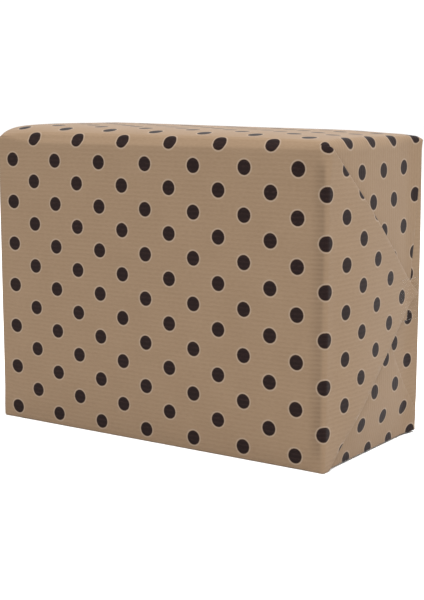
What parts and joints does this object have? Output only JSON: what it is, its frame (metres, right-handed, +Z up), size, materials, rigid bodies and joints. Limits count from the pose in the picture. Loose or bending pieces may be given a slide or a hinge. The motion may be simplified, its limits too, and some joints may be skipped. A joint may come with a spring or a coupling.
{
  "type": "wrapped gift box",
  "caption": "Upright rectangular box wrapped in ribbed brown paper printed with dark dots, with folded and taped ends.",
  "frame": {"origin": "middle of the resting face", "axes": "+Z up; +X along the parcel's length, out of its right-hand folded end; the front face looks along -Y"},
  "size_m": [0.178, 0.086, 0.1365],
  "materials": {
    "printed_kraft_paper": "matte",
    "corrugated_board": "matte",
    "clear_tape": "satin",
    "brown_parcel_tape": "satin"
  },
  "bodies": {
    "parcel": {"carton_walls": "corrugated_board", "carton_glue_flap": "corrugated_board", "carton_top_flap_left": "corrugated_board", "carton_top_flap_right": "corrugated_board", "carton_top_flap_front": "corrugated_board", "carton_top_flap_back": "corrugated_board", "carton_bottom_flap_left": "corrugated_board", "carton_bottom_flap_right": "corrugated_board", "carton_bottom_flap_front": "corrugated_board", "carton_bottom_flap_back": "corrugated_board", "carton_top_tape": "brown_parcel_tape", "carton_bottom_tape": "brown_parcel_tape", "wrap_sleeve": "printed_kraft_paper", "wrap_back_lap": "printed_kraft_paper", "seam_tape": "clear_tape", "right_back_flap": "printed_kraft_paper", "right_back_tucks": "printed_kraft_paper", "right_bottom_flap": "printed_kraft_paper", "right_top_flap": "printed_kraft_paper", "left_back_flap": "printed_kraft_paper", "left_back_tucks": "printed_kraft_paper", "left_bottom_flap": "printed_kraft_paper", "left_top_flap": "printed_kraft_paper"},
    "right_flap": {"right_front_flap": "printed_kraft_paper", "right_front_tucks": "printed_kraft_paper", "right_end_tape": "clear_tape"},
    "left_flap": {"left_front_flap": "printed_kraft_paper", "left_front_tucks": "printed_kraft_paper", "left_end_tape": "clear_tape"}
  },
  "joints": [
    {"name": "right_flap_open", "type": "hinge", "parent": "parcel", "child": "right_flap", "pos_m": [0.08756, -0.04171, 0.068], "axis": [0, 0, -1], "range_deg": [0, 90]},
    {"name": "left_flap_open", "type": "hinge", "parent": "parcel", "child": "left_flap", "pos_m": [-0.08756, -0.04171, 0.068], "axis": [0, 0, 1], "range_deg": [0, 90]}
  ]
}
